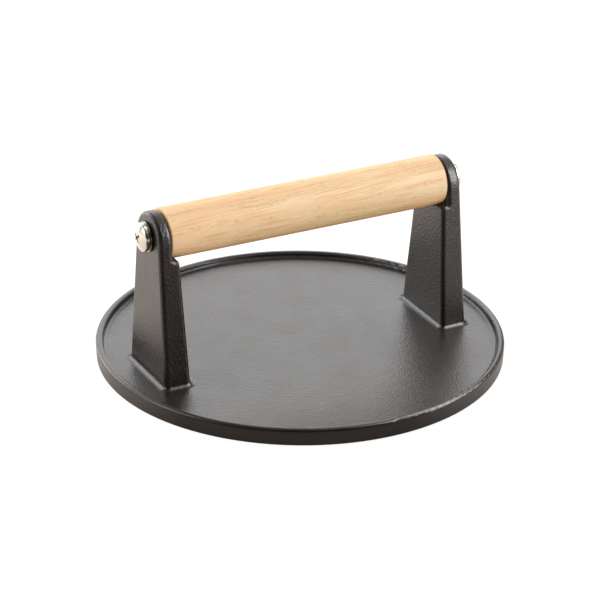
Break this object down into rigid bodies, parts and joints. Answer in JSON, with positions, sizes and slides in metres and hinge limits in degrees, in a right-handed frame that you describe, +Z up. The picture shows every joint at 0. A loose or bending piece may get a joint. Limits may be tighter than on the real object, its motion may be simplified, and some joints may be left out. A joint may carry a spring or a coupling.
{
  "type": "grill press",
  "caption": "Round cast iron grill press: a flat rimmed plate with tapered upright posts and a turned wooden grip screwed between their ears.",
  "frame": {"origin": "centre of the flat pressing face, on the surface that the press rests on", "axes": "+Z up, +X along the grip, -Y the long side of the grip that the picture shows"},
  "size_m": [0.2218, 0.2218, 0.0993],
  "materials": {
    "cast_body": "black pre-seasoned sand casting, fine grained and satin",
    "grip": "pale hardwood turned and sanded smooth, satin",
    "screws": "bright nickel plate",
    "washers": "bright nickel plate",
    "inserts": "plain machined"
  },
  "bodies": {
    "root": {"cast_body": "cast_body", "grip": "grip", "screw_left": "screws", "screw_right": "screws", "washer_left": "washers", "washer_right": "washers", "insert_left": "inserts", "insert_right": "inserts"}
  },
  "joints": []
}
